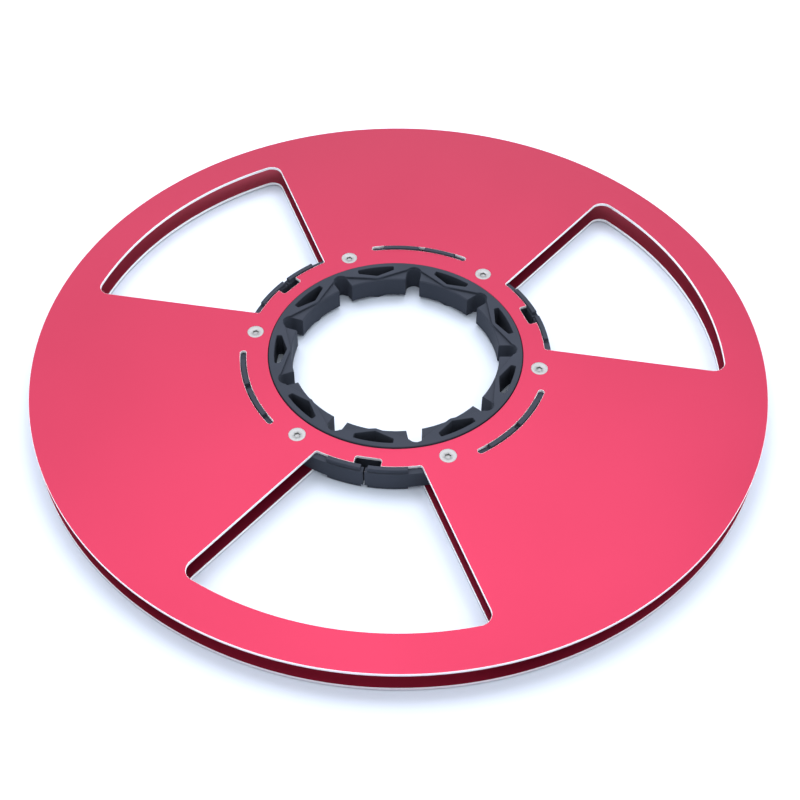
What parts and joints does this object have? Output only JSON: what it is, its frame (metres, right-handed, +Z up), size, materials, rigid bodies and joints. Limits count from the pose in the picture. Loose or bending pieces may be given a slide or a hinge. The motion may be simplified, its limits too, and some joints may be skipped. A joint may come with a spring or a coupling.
{
  "type": "tape reel",
  "caption": "Wide open tape reel: flat red metal flanges with large windows, screwed to a black hub with a notched round centre hole.",
  "frame": {"origin": "on the reel's axis of rotation, at the level of the hub's lowest faces", "axes": "+Z up along the axis of rotation; -Y through the middle of one window; +X through one screw of each flange"},
  "size_m": [0.2666, 0.2666, 0.0104],
  "materials": {
    "red_flange": "satin red anodised, with bare bevelled edges",
    "black_hub": "satin moulded",
    "screw_steel": "satin stainless",
    "insert_brass": "turned"
  },
  "bodies": {
    "root": {"top_flange": "red_flange", "bottom_flange": "red_flange", "hub": "black_hub", "top_screw_1": "screw_steel", "top_screw_2": "screw_steel", "top_screw_3": "screw_steel", "top_screw_4": "screw_steel", "top_screw_5": "screw_steel", "top_screw_6": "screw_steel", "bottom_screw_1": "screw_steel", "bottom_screw_2": "screw_steel", "bottom_screw_3": "screw_steel", "bottom_screw_4": "screw_steel", "bottom_screw_5": "screw_steel", "bottom_screw_6": "screw_steel", "threaded_insert_1": "insert_brass", "threaded_insert_2": "insert_brass", "threaded_insert_3": "insert_brass", "threaded_insert_4": "insert_brass", "threaded_insert_5": "insert_brass", "threaded_insert_6": "insert_brass"}
  },
  "joints": []
}
